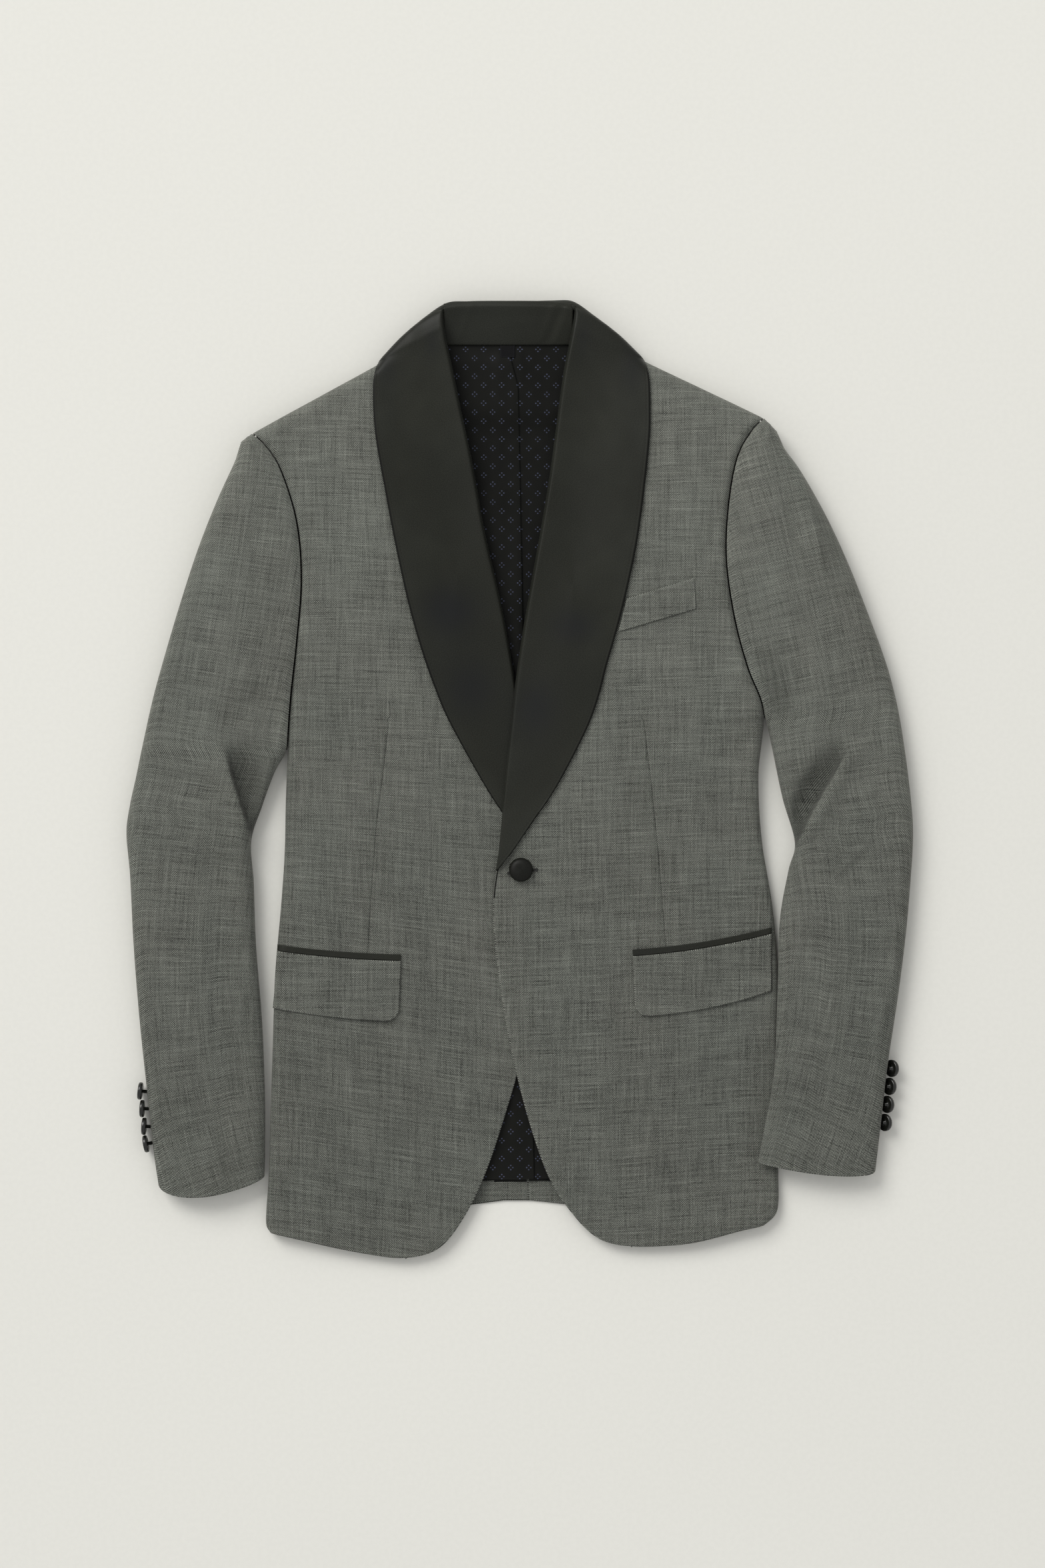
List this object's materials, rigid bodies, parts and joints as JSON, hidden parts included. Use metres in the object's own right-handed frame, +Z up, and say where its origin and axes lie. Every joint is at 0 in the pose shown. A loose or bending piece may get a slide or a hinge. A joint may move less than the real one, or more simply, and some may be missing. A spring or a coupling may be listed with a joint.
{
  "type": "tuxedo jacket laid flat",
  "caption": "A hollow buttoned dinner jacket in grey wool, laid flat on its back, with a black satin shawl collar, covered buttons, flapped pockets and a dark patterned lining.",
  "frame": {"origin": "the middle of the laid jacket's outline, on the surface it lies on", "axes": "+Z up from the surface, +Y from the hem to the collar, +X towards the wearer's left sleeve"},
  "size_m": [0.6671, 0.8164, 0.0282],
  "materials": {
    "wool_grey": "matt fine sharkskin wool with light and dark slubs",
    "satin_black": "satin with a soft sheen",
    "lining_black": "smooth lining with a small woven repeat of four dots",
    "label_black": "plain woven tab"
  },
  "bodies": {
    "root": {"front_right": "wool_grey", "side_panel_right": "wool_grey", "back_right": "wool_grey", "sleeve_upper_right": "wool_grey", "sleeve_under_right": "wool_grey", "flap_right": "wool_grey", "back_lining_right": "lining_black", "collar_right": "satin_black", "pocket_jet_right": "satin_black", "cuff_button_right_1": "satin_black", "cuff_button_right_2": "satin_black", "cuff_button_right_3": "satin_black", "cuff_button_right_4": "satin_black", "front_left": "wool_grey", "side_panel_left": "wool_grey", "back_left": "wool_grey", "sleeve_upper_left": "wool_grey", "sleeve_under_left": "wool_grey", "flap_left": "wool_grey", "back_lining_left": "lining_black", "collar_left": "satin_black", "pocket_jet_left": "satin_black", "cuff_button_left_1": "satin_black", "cuff_button_left_2": "satin_black", "cuff_button_left_3": "satin_black", "cuff_button_left_4": "satin_black", "collar_stand": "satin_black", "breast_welt": "wool_grey", "front_button": "satin_black", "neck_label": "label_black"}
  },
  "joints": []
}
